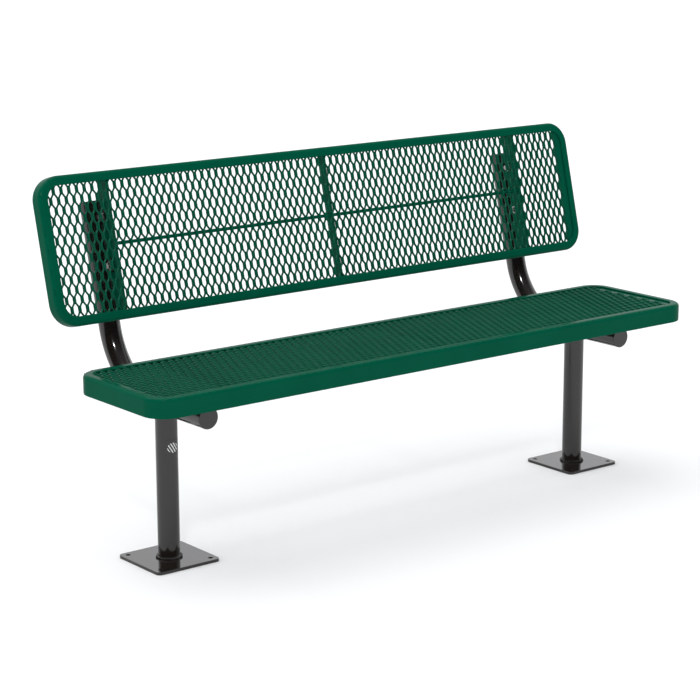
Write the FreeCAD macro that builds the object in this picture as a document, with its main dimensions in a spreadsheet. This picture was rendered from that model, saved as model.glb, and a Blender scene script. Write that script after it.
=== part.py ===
"""Park bench with a back: two coated mesh panels on two surface-mounted bent-tube supports.

Lengths are in millimetres.  +X runs along the bench, +Y from the seat's front edge to the back and
+Z up.  The origin is on the floor, in the middle of the bench's length and depth.

Both panels are drawn in the same panel frame: x along the bench, y across the panel from its front
(seat) or lower (back) edge, and z = 0 at the face that is sat on or leant against.
"""
import FreeCAD, Part
import math
import os
import Sketcher
from BOPTools import SplitAPI
from FreeCAD import Placement, Rotation, Vector

doc = FreeCAD.newDocument("ParkBench")

# ---------------------------------------------------------------- sizes

DRIVING = [
    # overall
    ("bench_length", 1829, "length of both panels"),
    ("seat_depth", 381, "seat, front edge to rear edge"),
    ("seat_height", 504, "floor to the seat's top face"),
    ("back_height", 386, "back panel, lower edge to upper edge"),
    ("back_recline", 14, "back panel's lean from upright, degrees"),
    ("back_setback", 57, "seat's rear edge to the back's lower front edge"),
    ("back_rise", 100, "seat's top face to the back's lower front edge"),
    ("corner_radius", 63.5, "panel corners"),
    # panel rims
    ("seat_rim_depth", 50.8, "seat rim, top to bottom"),
    ("back_rim_depth", 38, "back rim, front to rear"),
    ("rim_flange", 25.4, "width of the rim's face around the mesh"),
    ("rim_wall", 5, "rim steel with its coating"),
    ("rim_edge_radius", 7, "rounding along the rim's outer face edge"),
    # expanded mesh
    ("mesh_thickness", 4, "mesh sheet with its coating"),
    ("mesh_gap", 0.2, "mesh edge to the rim's wall"),
    ("mesh_pitch_short", 22.7, "diamond pitch along the bench"),
    ("mesh_pitch_long", 50.8, "diamond pitch across the panel"),
    ("diamond_width", 15.4, "opening, short way"),
    ("diamond_length", 32, "opening, long way"),
    ("selvage", 22, "unslit strip of the sheet at the right-hand end"),
    # stiffeners behind the mesh
    ("bar_thickness", 5, "cross bars, standing on edge"),
    ("bar_end_chamfer", 8, "corners cut off the end bars clear of the rim"),
    ("bar_to_tube", 4, "air between an end bar and the support tube"),
    ("rod_diameter", 9.5, "stiffening rod behind the mesh"),
    ("rod_share", 0.51, "rod height as a share of the panel's width"),
    # supports
    ("tube_diameter", 57.15, "support tube, outside"),
    ("tube_wall", 3.2, "support tube wall"),
    ("tube_offset", 88.9, "panel face to the axis of the tube behind it"),
    ("bend_radius", 203.2, "axis radius of the tube's bend"),
    ("support_spacing", 1433.4, "between the axes of the two supports"),
    ("arm_setback", 74, "seat's front edge to the arm's front cap"),
    ("post_to_bend", 59, "post axis to the start of the bend"),
    ("tube_top_share", 0.81, "height of the tube's top end as a share of the back's height"),
    ("cap_thickness", 3, "end caps"),
    ("cap_chamfer", 0.8, "edge of the end caps"),
    ("post_trim", 9, "post top below the arm's axis, where the coped edge thins out"),
    ("base_side", 190.5, "square base plate"),
    ("base_thickness", 8, "base plate"),
    ("base_corner", 12.7, "base plate corner radius"),
    ("anchor_spacing", 152.4, "between anchor holes, both ways"),
    ("anchor_hole", 12.7, "anchor hole diameter"),
    ("weld_leg", 6, "fillet weld around the post"),
    # lugs and fasteners
    ("lug_thickness", 6, "lugs welded to the tube"),
    ("lug_width", 38, "lug, along the tube"),
    ("lug_corner", 10, "lug's free corners"),
    ("lug_shift", 5.2, "lug centre inboard of the tube's axis"),
    ("bolt_to_bar_end", 10.3, "bolt axis to the end bar's far edge"),
    ("bolt_to_lug_end", 13, "bolt axis to the lug's free end"),
    ("bolt_diameter", 9.5, "bolt shank"),
    ("bolt_hole", 10.5, "hole in bar and lug"),
    ("bolt_head_height", 6, "hexagon head"),
    ("nut_height", 8, "hexagon nut"),
    ("hexagon_flats", 14.3, "across flats, head and nut"),
    ("thread_end", 3, "shank past the nut"),
    ("thread_gap", 0.1, "radial air in the nut and washers"),
    ("washer_diameter", 22, "outside"),
    ("washer_thickness", 1.8, "under head and nut"),
    ("back_bolt_low", 0.37, "lower bolt as a share of the back's height"),
    ("back_bolt_high", 0.70, "upper bolt as a share of the back's height"),
    ("seat_bolt_inset", 45, "arm's front cap to the front bolt"),
    ("seat_bolt_to_bend", 22, "rear bolt to the start of the bend"),
    # label
    ("label_width", 44, "around the post"),
    ("label_height", 42, "up the post"),
    ("label_thickness", 0.5, "film"),
    ("label_share", 0.75, "label centre as a share of the post's height"),
]

DERIVED = [
    ("tube_radius", "tube_diameter / 2"),
    ("support_x", "support_spacing / 2"),
    ("back_y", "seat_depth + back_setback"),
    ("back_z", "seat_height + back_rise"),
    ("arm_z", "seat_height - tube_offset"),
    # the upright's axis line meets the arm's axis line at this depth
    ("elbow_y", "back_y - (back_z - arm_z) * tan(back_recline) + tube_offset / cos(back_recline)"),
    ("bend_angle", "90 - back_recline"),
    ("bend_reach", "bend_radius * tan(bend_angle / 2)"),
    ("bend_start_y", "elbow_y - bend_reach"),
    ("post_y", "bend_start_y - post_to_bend"),
    ("arm_start_y", "arm_setback + cap_thickness"),
    ("arm_straight", "bend_start_y - arm_start_y"),
    # position up the back panel of the elbow, and of the tube's top end
    ("elbow_u", "(elbow_y - back_y) * sin(back_recline) + (arm_z - back_z) * cos(back_recline)"),
    ("tube_top_u", "back_height * tube_top_share"),
    ("upright_length", "tube_top_u - elbow_u - bend_reach"),
    ("depth_overall", "back_y + (tube_top_u + cap_thickness) * sin(back_recline)"
                      " + (tube_offset + tube_radius) * cos(back_recline)"),
    ("front_y", "-depth_overall / 2"),
    ("mesh_back", "rim_wall + mesh_thickness"),
    ("bar_end", "tube_offset - tube_radius - bar_to_tube"),
    ("bolt_to_face", "bar_end - bolt_to_bar_end"),
    ("lug_x", "support_x - lug_shift"),
    ("end_bar_x", "lug_x - lug_thickness / 2 - bar_thickness / 2"),
    ("seat_bolt_front", "arm_setback + seat_bolt_inset"),
    ("seat_bolt_rear", "bend_start_y - seat_bolt_to_bend"),
    ("back_bolt_lower", "back_height * back_bolt_low"),
    ("back_bolt_upper", "back_height * back_bolt_high"),
    ("post_top_z", "arm_z - post_trim"),
    ("label_z", "post_top_z * label_share"),
]

sheet = doc.addObject("Spreadsheet::Sheet", "Sizes")
for row, (name, size, note) in enumerate(DRIVING, start=1):
    sheet.set(f"A{row}", name)
    sheet.set(f"B{row}", str(size))
    sheet.set(f"C{row}", note)
    sheet.setAlias(f"B{row}", name)
doc.recompute()
for row, (name, formula) in enumerate(DERIVED, start=len(DRIVING) + 2):
    sheet.set(f"A{row}", name)
    sheet.set(f"B{row}", "=" + formula)
    sheet.setAlias(f"B{row}", name)
    doc.recompute()


def size(name):
    """Current value of a named size."""
    return float(sheet.get(name))


def cell(formula):
    """The formula with every named size pointing at the sheet."""
    names = {entry[0] for entry in DRIVING} | {entry[0] for entry in DERIVED}
    word, out = "", ""
    for letter in formula + " ":
        if letter.isalnum() or letter == "_":
            word += letter
            continue
        out += ("Sizes." + word if word in names else word) + letter
        word = ""
    return out.strip()


NODES = []
SIDES = (("left", -1), ("right", 1))


def node(feature, name):
    """Register a finished sub-part under its file name."""
    feature.Label = name
    NODES.append(feature)
    return feature


# ---------------------------------------------------------------- placement

def place(feature, x="0", y="0", z="0", tilt="0"):
    """Bind a placement in the bench's frame; y is measured from the seat's front edge."""
    feature.Placement = Placement(Vector(), Rotation(Vector(1, 0, 0), 1))
    feature.setExpression("Placement.Base.x", cell(x))
    feature.setExpression("Placement.Base.y", cell(f"front_y + {y}"))
    feature.setExpression("Placement.Base.z", cell(z))
    feature.setExpression("Placement.Rotation.Angle", cell(tilt))


def place_in_panel(feature, panel, x="0"):
    """Bind a placement at x in a panel's frame."""
    if panel == "seat":
        place(feature, x=x, z="seat_height")
    else:
        place(feature, x=x, y="back_y", z="back_z", tilt="90 - back_recline")


# ---------------------------------------------------------------- sketches

def new_body(name):
    return doc.addObject("PartDesign::Body", name + "_body")


def new_sketch(body, name, plane, x="0", y="0", z="0"):
    """Sketch on one of the body's origin planes, its own origin shifted by x, y, z in that plane."""
    sketch = body.newObject("Sketcher::SketchObject", name)
    support = [f for f in body.Origin.OriginFeatures if f.Role == plane][0]
    sketch.AttachmentSupport = (support, [""])
    sketch.MapMode = "FlatFace"
    for axis, formula in (("x", x), ("y", y), ("z", z)):
        if formula != "0":
            sketch.setExpression(f"AttachmentOffset.Base.{axis}", cell(formula))
    return sketch


def bind(sketch, index, formula):
    sketch.setExpression(f"Constraints[{index}]", cell(formula))


def evaluate(formula):
    """Number a formula of named sizes gives now, for the first shape of a sketch."""
    return float(sheet.evalExpression(cell(formula).replace("Sizes.", "")))


def add_circle(sketch, radius, x="0", y="0"):
    """Circle at x, y (both zero or more) of the sketch's origin."""
    centre = Vector(evaluate(x), evaluate(y), 0)
    ring = sketch.addGeometry(Part.Circle(centre, Vector(0, 0, 1), evaluate(radius)))
    bind(sketch, sketch.addConstraint(Sketcher.Constraint("Radius", ring, evaluate(radius))), radius)
    if x == "0" and y == "0":
        sketch.addConstraint(Sketcher.Constraint("Coincident", ring, 3, -1, 1))
        return
    for kind, formula in (("DistanceX", x), ("DistanceY", y)):
        if formula == "0":
            axis = -2 if kind == "DistanceX" else -1
            sketch.addConstraint(Sketcher.Constraint("PointOnObject", ring, 3, axis))
            continue
        index = sketch.addConstraint(Sketcher.Constraint(kind, -1, 1, ring, 3, evaluate(formula)))
        bind(sketch, index, formula)


def add_rectangle(sketch, width, height, radius=None):
    """Rectangle centred on the sketch's origin, its corners rounded when a radius is given."""
    half_w, half_h = evaluate(width) / 2, evaluate(height) / 2
    r = evaluate(radius) if radius else 0
    ends = [
        ((-half_w + r, -half_h), (half_w - r, -half_h)),
        ((half_w, -half_h + r), (half_w, half_h - r)),
        ((half_w - r, half_h), (-half_w + r, half_h)),
        ((-half_w, half_h - r), (-half_w, -half_h + r)),
    ]
    lines = [sketch.addGeometry(Part.LineSegment(Vector(*a, 0), Vector(*b, 0))) for a, b in ends]
    for line, kind in zip(lines, ("Horizontal", "Vertical", "Horizontal", "Vertical")):
        sketch.addConstraint(Sketcher.Constraint(kind, line))
    if radius:
        centres = [(half_w - r, -half_h + r), (half_w - r, half_h - r),
                   (-half_w + r, half_h - r), (-half_w + r, -half_h + r)]
        arcs = []
        for turn, centre in enumerate(centres):
            start = math.radians(90 * (turn - 1))
            circle = Part.Circle(Vector(*centre, 0), Vector(0, 0, 1), r)
            arcs.append(sketch.addGeometry(Part.ArcOfCircle(circle, start, start + math.pi / 2)))
        for turn, arc in enumerate(arcs):
            sketch.addConstraint(Sketcher.Constraint("Tangent", lines[turn], 2, arc, 1))
            sketch.addConstraint(Sketcher.Constraint("Tangent", arc, 2, lines[(turn + 1) % 4], 1))
        for arc in arcs[1:]:
            sketch.addConstraint(Sketcher.Constraint("Equal", arcs[0], arc))
        sketch.addConstraint(Sketcher.Constraint("Symmetric", arcs[0], 3, arcs[2], 3, -1, 1))
        bind(sketch, sketch.addConstraint(Sketcher.Constraint("Radius", arcs[0], r)), radius)
    else:
        for turn in range(4):
            sketch.addConstraint(
                Sketcher.Constraint("Coincident", lines[turn], 2, lines[(turn + 1) % 4], 1))
        sketch.addConstraint(Sketcher.Constraint("Symmetric", lines[0], 1, lines[1], 2, -1, 1))
    across = Sketcher.Constraint("DistanceX", lines[3], 1, lines[1], 1, 2 * half_w)
    bind(sketch, sketch.addConstraint(across), width)
    upright = Sketcher.Constraint("DistanceY", lines[0], 1, lines[2], 1, 2 * half_h)
    bind(sketch, sketch.addConstraint(upright), height)


# ---------------------------------------------------------------- features

def pad(body, sketch, length, reverse=False, both_sides=False):
    feature = body.newObject("PartDesign::Pad", sketch.Name + "_pad")
    feature.Profile = sketch
    feature.setExpression("Length", cell(length))
    feature.Reversed = reverse
    feature.Midplane = both_sides
    doc.recompute()
    return feature


def pocket(body, sketch, depth=None, reverse=False, both_sides=False):
    """Cut a sketch out of the body, to a depth or right through, and see that it took material."""
    before = body.Shape.Volume
    feature = body.newObject("PartDesign::Pocket", sketch.Name + "_cut")
    feature.Profile = sketch
    if depth:
        feature.setExpression("Length", cell(depth))
    else:
        feature.Type = 1
    feature.Reversed = reverse
    feature.Midplane = both_sides
    doc.recompute()
    if not 0 < feature.Shape.Volume < before - 1:
        raise RuntimeError(sketch.Name + " cut nothing")
    return feature


def edges_of(feature, wanted):
    """Names of the edges whose bounding box passes the test."""
    return [f"Edge{number}" for number, edge in enumerate(feature.Shape.Edges, start=1)
            if wanted(edge.BoundBox)]


def soften(body, base, edges, kind, amount):
    """PartDesign fillet or chamfer along named edges of a feature."""
    feature = body.newObject("PartDesign::" + kind, base.Name + "_" + kind.lower())
    feature.Base = (base, edges)
    feature.setExpression("Radius" if kind == "Fillet" else "Size", cell(amount))
    doc.recompute()
    return feature


# ---------------------------------------------------------------- panels

FLAT = 1e-4
# half height of an opening's blunt side, as a share of its half length
SIDE_FLAT = 0.16
# solid web between the rim's wall and the openings, and between openings and tile seams
MESH_WEB = 4
SEAM_GAP = 2.5
TILE_COLUMNS = 16


def rim(panel, width, depth):
    """Formed rim: a face flange around the mesh and a wall around the outside."""
    body = new_body(panel + "_rim")
    middle = f"({width}) / 2"
    outline = new_sketch(body, panel + "_rim_outline", "XY_Plane", y=middle)
    add_rectangle(outline, "bench_length", width, "corner_radius")
    block = pad(body, outline, depth, reverse=True)
    face_edges = edges_of(block, lambda box: box.ZMin > -FLAT)
    soften(body, block, face_edges, "Fillet", "rim_edge_radius")
    window = new_sketch(body, panel + "_rim_window", "XY_Plane", y=middle)
    add_rectangle(window, "bench_length - 2 * rim_flange", f"{width} - 2 * rim_flange",
                  "corner_radius - rim_flange")
    pocket(body, window)
    hollow = new_sketch(body, panel + "_rim_hollow", "XY_Plane", y=middle, z=f"-({depth})")
    add_rectangle(hollow, "bench_length - 2 * rim_wall", f"{width} - 2 * rim_wall",
                  "corner_radius - rim_wall")
    pocket(body, hollow, f"{depth} - rim_wall", reverse=True)
    place_in_panel(body, panel)
    return node(body, panel + "_rim")


def rounded_outline(x_low, x_high, y_low, y_high, radius):
    """Closed wire of a rectangle with rounded corners at z = 0."""
    plate = Part.makeBox(x_high - x_low, y_high - y_low, 1, Vector(x_low, y_low, 0))
    upright = [edge for edge in plate.Edges if edge.BoundBox.ZLength > 0.5]
    rounded = plate.makeFillet(radius, upright)
    bottom = [face for face in rounded.Faces if face.BoundBox.ZMax < FLAT][0]
    return bottom.OuterWire


def opening(x, y):
    """Diamond opening of the expanded mesh, blunt at its sides, as a closed wire."""
    half_w, half_l = size("diamond_width") / 2, size("diamond_length") / 2
    corners = [(0, 1), (1, SIDE_FLAT), (1, -SIDE_FLAT), (0, -1), (-1, -SIDE_FLAT), (-1, SIDE_FLAT), (0, 1)]
    return Part.makePolygon([Vector(x + a * half_w, y + b * half_l, 0) for a, b in corners])


def mesh_rows(width):
    """Row numbers of openings that fit across a panel; rows sit half a long pitch apart."""
    step = size("mesh_pitch_long") / 2
    free = size(width) / 2 - size("rim_wall") - MESH_WEB - size("diamond_length") / 2
    upper = int(free / step - 0.5)
    return list(range(-upper - 1, upper + 1))


def row_height(width, row):
    return size(width) / 2 + size("mesh_pitch_long") / 2 * (row + 0.5)


def mesh_openings(width):
    """Centres of the openings, staggered row by row and clear of the rim's corners."""
    half = size("bench_length") / 2
    step = size("mesh_pitch_short") / 2
    half_w, half_l = size("diamond_width") / 2, size("diamond_length") / 2
    web = size("rim_wall") + MESH_WEB
    corner = size("corner_radius")
    columns = int(half / step)
    centres = []
    for row in mesh_rows(width):
        y = row_height(width, row)
        above = max(corner - (y - half_l), y + half_l - (size(width) - corner))
        for column in range(-columns, columns + 1):
            x = column * step
            outer = abs(x) + half_w
            beyond = outer - (half - corner)
            in_row = (row + column) % 2 == 0
            unslit = x + half_w > half - size("rim_flange") - size("selvage")
            cut_off = above > 0 and beyond > 0 and math.hypot(above, beyond) > corner - web
            if in_row and not unslit and not cut_off and outer < half - web:
                centres.append((x, y))
    return centres


def mesh_seams(width):
    """Lines that divide the sheet's face into tiles of a few openings, passing between them all."""
    step_x, step_y = size("mesh_pitch_short") / 2, size("mesh_pitch_long") / 2
    swing = size("diamond_length") / 2 - step_y / 2 + SEAM_GAP
    columns = int(size("bench_length") / 2 / step_x) + 2
    rows = mesh_rows(width)

    def seam_point(row, column):
        """Seam above a row: over the tips of this row's openings, under those of the next."""
        if row < rows[0] or row == rows[-1]:
            return Vector(column * step_x, 0 if row < rows[0] else size(width), 0)
        side = 1 if (row + column) % 2 == 0 else -1
        return Vector(column * step_x, row_height(width, row) + step_y / 2 + side * swing, 0)

    seams = []
    for row in rows[:-1]:
        points = [seam_point(row, column) for column in range(-columns, columns + 1)]
        seams.append(Part.makePolygon(points))
    for row in rows:
        for column in range(2 - columns, columns - 1):
            if column % TILE_COLUMNS == 0:
                between = column if (row + column) % 2 else column + 1
                seams.append(Part.makeLine(seam_point(row - 1, between), seam_point(row, between)))
    return seams


def sheet_solid(outline, seams, centres, thickness):
    """Sheet with openings as one solid, hanging below z = 0.

    Its two faces are tiled, because one face with a thousand holes is very slow to work with.
    """
    tiles = []
    waiting = list(centres)
    for tile in SplitAPI.slice(Part.Face(outline), seams, "Split").Faces:
        inside = [c for c in waiting if tile.isInside(Vector(*c, 0), FLAT, True)]
        waiting = [c for c in waiting if c not in inside]
        if inside:
            tile.cutHoles([opening(*c) for c in inside])
        tiles.append(tile)
    if waiting:
        raise RuntimeError(f"{len(waiting)} openings fell outside the sheet")
    prisms = Part.makeCompound(tiles).extrude(Vector(0, 0, -thickness))
    # the walls between tiles belong to two prisms; the rest is the sheet's skin
    owners = {}
    for prism in prisms.Solids:
        for face in prism.Faces:
            owners.setdefault(face.hashCode(), []).append(face)
    skin = [faces[0] for faces in owners.values() if len(faces) == 1]
    return Part.Solid(Part.Shell(skin))


def mesh(panel, width):
    """Expanded sheet behind the rim's flange, its diamonds standing across the panel."""
    half = size("bench_length") / 2
    edge = size("rim_wall") + size("mesh_gap")
    outline = rounded_outline(-half + edge, half - edge, edge, size(width) - edge,
                              size("corner_radius") - edge)
    sheet_shape = sheet_solid(outline, mesh_seams(width), mesh_openings(width), size("mesh_thickness"))
    feature = doc.addObject("Part::Feature", panel + "_mesh")
    feature.Shape = sheet_shape
    behind_flange = Placement(Vector(0, 0, -size("rim_wall")), Rotation())
    feature.Placement = panel_frame(panel).multiply(behind_flange)
    return node(feature, panel + "_mesh")


def panel_frame(panel):
    """Placement of a panel's frame at the current sizes."""
    if panel == "seat":
        return Placement(Vector(0, size("front_y"), size("seat_height")), Rotation())
    tilt = Rotation(Vector(1, 0, 0), 90 - size("back_recline"))
    return Placement(Vector(0, size("front_y") + size("back_y"), size("back_z")), tilt)


def bar(panel, width, name, x, far_edge, bolts=()):
    """Flat bar on edge across the panel, behind the mesh, with bolt holes where it is fastened."""
    label = f"{panel}_bar_{name}"
    body = new_body(label)
    length = f"{width} - 2 * rim_wall"
    tall = f"{far_edge} - mesh_back"
    side = new_sketch(body, label + "_side", "YZ_Plane", x=f"({width}) / 2",
                      y=f"-({far_edge} + mesh_back) / 2")
    add_rectangle(side, length, tall)
    blank = pad(body, side, "bar_thickness", both_sides=True)
    if bolts:
        far = -evaluate(far_edge)
        corners = edges_of(blank, lambda box: box.ZMax < far + FLAT and box.YLength < FLAT)
        soften(body, blank, corners, "Chamfer", "bar_end_chamfer")
        holes = new_sketch(body, label + "_holes", "YZ_Plane", y="-bolt_to_face")
        for position in bolts:
            add_circle(holes, "bolt_hole / 2", x=position)
        pocket(body, holes, both_sides=True)
    place_in_panel(body, panel, x)
    return node(body, label)


def rod(panel, width, name, direction):
    """Round stiffener against the back of the mesh, from the centre bar to an end bar."""
    label = f"{panel}_rod_{name}"
    body = new_body(label)
    section = new_sketch(body, label + "_section", "YZ_Plane", x=f"({width}) * rod_share",
                         y="-mesh_back - rod_diameter / 2")
    add_circle(section, "rod_diameter / 2")
    pad(body, section, "end_bar_x - bar_thickness", reverse=direction < 0)
    place_in_panel(body, panel, "bar_thickness / 2" if direction > 0 else "-bar_thickness / 2")
    return node(body, label)


# ---------------------------------------------------------------- supports

def base_plate(name, x):
    """Square foot with four anchor holes."""
    body = new_body("base_plate_" + name)
    outline = new_sketch(body, f"base_{name}_outline", "XY_Plane")
    add_rectangle(outline, "base_side", "base_side", "base_corner")
    pad(body, outline, "base_thickness")
    holes = new_sketch(body, f"base_{name}_holes", "XY_Plane",
                       x="-anchor_spacing / 2", y="-anchor_spacing / 2", z="base_thickness")
    for across in ("0", "anchor_spacing"):
        for along in ("0", "anchor_spacing"):
            add_circle(holes, "anchor_hole / 2", x=across, y=along)
    pocket(body, holes)
    place(body, x=x, y="post_y")
    return node(body, "base_plate_" + name)


def post(name, x):
    """Upright tube from the base plate, its top coped to the arm above."""
    body = new_body("post_" + name)
    section = new_sketch(body, f"post_{name}_section", "XY_Plane", z="base_thickness")
    add_circle(section, "tube_radius")
    add_circle(section, "tube_radius - tube_wall")
    pad(body, section, "post_top_z - base_thickness")
    cope = new_sketch(body, f"post_{name}_cope", "XZ_Plane", y="arm_z")
    add_circle(cope, "tube_radius")
    pocket(body, cope, both_sides=True)
    place(body, x=x, y="post_y")
    return node(body, "post_" + name)


def post_weld(name, x):
    """Fillet weld between the post and its base plate."""
    body = new_body("post_weld_" + name)
    section = new_sketch(body, f"post_weld_{name}_section", "XZ_Plane", x="tube_radius",
                         y="base_thickness")
    leg = size("weld_leg")
    corners = [Vector(0, 0, 0), Vector(leg, 0, 0), Vector(0, leg, 0)]
    lines = [section.addGeometry(Part.LineSegment(corners[i], corners[(i + 1) % 3])) for i in range(3)]
    for i in range(3):
        section.addConstraint(Sketcher.Constraint("Coincident", lines[i], 2, lines[(i + 1) % 3], 1))
    section.addConstraint(Sketcher.Constraint("Coincident", lines[0], 1, -1, 1))
    section.addConstraint(Sketcher.Constraint("Horizontal", lines[0]))
    section.addConstraint(Sketcher.Constraint("Vertical", lines[2]))
    along = section.addConstraint(Sketcher.Constraint("DistanceX", lines[0], 1, lines[0], 2, leg))
    bind(section, along, "weld_leg")
    up = section.addConstraint(Sketcher.Constraint("DistanceY", lines[2], 2, lines[2], 1, leg))
    bind(section, up, "weld_leg")
    turn = body.newObject("PartDesign::Revolution", f"post_weld_{name}_ring")
    turn.Profile = section
    axis = [f for f in body.Origin.OriginFeatures if f.Role == "Z_Axis"][0]
    turn.ReferenceAxis = (axis, [""])
    turn.Angle = 360
    place(body, x=x, y="post_y")
    return node(body, "post_weld_" + name)


def support_tube(name, x):
    """Arm under the seat and upright behind the back, bent from one tube."""
    body = new_body("support_tube_" + name)
    path = new_sketch(body, f"support_{name}_path", "YZ_Plane")
    start = Vector(size("arm_start_y"), size("arm_z"), 0)
    bend_start = Vector(size("bend_start_y"), size("arm_z"), 0)
    centre = bend_start + Vector(0, size("bend_radius"), 0)
    turn = math.radians(size("bend_angle"))
    bend_end = centre + Vector(math.sin(turn), -math.cos(turn), 0) * size("bend_radius")
    end = bend_end + Vector(math.cos(turn), math.sin(turn), 0) * size("upright_length")
    arm = path.addGeometry(Part.LineSegment(start, bend_start))
    circle = Part.Circle(centre, Vector(0, 0, 1), size("bend_radius"))
    bend = path.addGeometry(Part.ArcOfCircle(circle, -math.pi / 2, turn - math.pi / 2))
    upright = path.addGeometry(Part.LineSegment(bend_end, end))
    path.addConstraint(Sketcher.Constraint("Horizontal", arm))
    path.addConstraint(Sketcher.Constraint("Tangent", arm, 2, bend, 1))
    path.addConstraint(Sketcher.Constraint("Tangent", bend, 2, upright, 1))
    sizes = [
        (Sketcher.Constraint("DistanceX", -1, 1, arm, 1, start.x), "arm_start_y"),
        (Sketcher.Constraint("DistanceY", -1, 1, arm, 1, start.y), "arm_z"),
        (Sketcher.Constraint("Distance", arm, size("arm_straight")), "arm_straight"),
        (Sketcher.Constraint("Radius", bend, size("bend_radius")), "bend_radius"),
        (Sketcher.Constraint("Angle", upright, turn), "bend_angle * 1 deg"),
        (Sketcher.Constraint("Distance", upright, size("upright_length")), "upright_length"),
    ]
    for constraint, formula in sizes:
        bind(path, path.addConstraint(constraint), formula)
    section = new_sketch(body, f"support_{name}_section", "XZ_Plane", y="arm_z", z="-arm_start_y")
    add_circle(section, "tube_radius")
    add_circle(section, "tube_radius - tube_wall")
    doc.recompute()
    pipe = body.newObject("PartDesign::AdditivePipe", f"support_{name}_pipe")
    pipe.Profile = section
    pipe.Spine = (path, [])
    place(body, x=x)
    return node(body, "support_tube_" + name)


def cap(label):
    """Flat disc closing a tube end; it stands on z = 0 and is chamfered on its outer edge."""
    body = new_body(label)
    section = new_sketch(body, label + "_section", "XY_Plane")
    add_circle(section, "tube_radius")
    disc = pad(body, section, "cap_thickness")
    thick = size("cap_thickness")
    outer = edges_of(disc, lambda box: abs(box.ZMin - thick) < FLAT and box.ZLength < FLAT)
    soften(body, disc, outer, "Chamfer", "cap_chamfer")
    return node(body, label)


def caps(name, x):
    """Front cap on the arm and top cap on the upright."""
    front = cap("arm_cap_" + name)
    place(front, x=x, y="arm_start_y", z="arm_z", tilt="90")
    top = cap("top_cap_" + name)
    up_y = "back_y + tube_top_u * sin(back_recline) + tube_offset * cos(back_recline)"
    up_z = "back_z + tube_top_u * cos(back_recline) - tube_offset * sin(back_recline)"
    place(top, x=x, y=up_y, z=up_z, tilt="-back_recline")


def lug(panel, name, which, side, position):
    """Plate welded to the tube's near side and lying against the end bar."""
    label = f"{panel}_lug_{which}_{name}"
    body = new_body(label)
    tip = "(bolt_to_face - bolt_to_lug_end)"
    side_view = new_sketch(body, label + "_side", "YZ_Plane", x=position,
                           y=f"-({tip} + tube_offset) / 2")
    add_rectangle(side_view, "lug_width", f"tube_offset - {tip}")
    blank = pad(body, side_view, "lug_thickness", both_sides=True)
    near = -evaluate(tip)
    corners = edges_of(blank, lambda box: box.ZMin > near - FLAT and box.YLength < FLAT)
    soften(body, blank, corners, "Fillet", "lug_corner")
    # the tube's axis is outboard of the lug's own middle plane
    inset = "lug_shift" if side > 0 else "-lug_shift"
    saddle = new_sketch(body, label + "_saddle", "XZ_Plane", x=inset, y="-tube_offset")
    add_circle(saddle, "tube_radius")
    pocket(body, saddle, both_sides=True)
    hole = new_sketch(body, label + "_hole", "YZ_Plane", x=position, y="-bolt_to_face")
    add_circle(hole, "bolt_hole / 2")
    pocket(body, hole, both_sides=True)
    place_in_panel(body, panel, "lug_x" if side > 0 else "-lug_x")
    return node(body, label)


# ---------------------------------------------------------------- fasteners

def lay(feature, side, x, y):
    """Turn a feature's z axis outboard and bind it at x (from the middle, outboard) and y."""
    feature.Placement = Placement(Vector(), Rotation(Vector(0, 1, 0), 90 * side))
    feature.setExpression("Placement.Base.x", cell(f"{side} * ({x})"))
    feature.setExpression("Placement.Base.y", cell(y))
    feature.setExpression("Placement.Base.z", cell("-bolt_to_face"))
    return feature


def cylinder(name, radius, height):
    feature = doc.addObject("Part::Cylinder", name)
    feature.setExpression("Radius", cell(radius))
    feature.setExpression("Height", cell(height))
    return feature


def hexagon(name, height):
    feature = doc.addObject("Part::Prism", name)
    feature.Polygon = 6
    feature.setExpression("Circumradius", cell("hexagon_flats / sqrt(3)"))
    feature.setExpression("Height", cell(height))
    return feature


def combine(kind, name, base, tool):
    feature = doc.addObject("Part::" + kind, name)
    feature.Base = base
    feature.Tool = tool
    return feature


def gather(panel, label, pieces):
    """Group equal fasteners of one joint in a single node."""
    group = doc.addObject("Part::Compound", label + "_group")
    group.Links = pieces
    place_in_panel(group, panel)
    return node(group, label)


LUG_FACE = "lug_x + lug_thickness / 2"
BAR_FACE = "end_bar_x - bar_thickness / 2"


def fasteners(panel, name, side, positions):
    """Bolts from outboard through lug and end bar, with washers and nuts."""
    bolts, nuts, washers = [], [], []
    for number, y in enumerate(positions, start=1):
        tag = f"{panel}_{name}_{number}"
        head_seat = f"{LUG_FACE} + washer_thickness"
        nut_seat = f"{BAR_FACE} - washer_thickness"
        shank_length = f"({head_seat}) - ({nut_seat}) + nut_height + thread_end"
        head = lay(hexagon("head_" + tag, "bolt_head_height"), side, head_seat, y)
        shank = cylinder("shank_" + tag, "bolt_diameter / 2", shank_length)
        lay(shank, side, f"{nut_seat} - nut_height - thread_end", y)
        bolts.append(combine("Fuse", "bolt_" + tag, head, shank))
        blank = lay(hexagon("nut_blank_" + tag, "nut_height"), side, f"{nut_seat} - nut_height", y)
        bore = cylinder("nut_bore_" + tag, "bolt_diameter / 2 + thread_gap", "nut_height")
        lay(bore, side, f"{nut_seat} - nut_height", y)
        nuts.append(combine("Cut", "nut_" + tag, blank, bore))
        for where, seat in (("lug", LUG_FACE), ("bar", nut_seat)):
            disc = cylinder(f"washer_{where}_{tag}", "washer_diameter / 2", "washer_thickness")
            eye = cylinder(f"eye_{where}_{tag}", "bolt_diameter / 2 + thread_gap", "washer_thickness")
            lay(disc, side, seat, y)
            lay(eye, side, seat, y)
            washers.append(combine("Cut", f"washer_cut_{where}_{tag}", disc, eye))
    gather(panel, f"{panel}_bolts_{name}", bolts)
    gather(panel, f"{panel}_nuts_{name}", nuts)
    gather(panel, f"{panel}_washers_{name}", washers)


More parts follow.
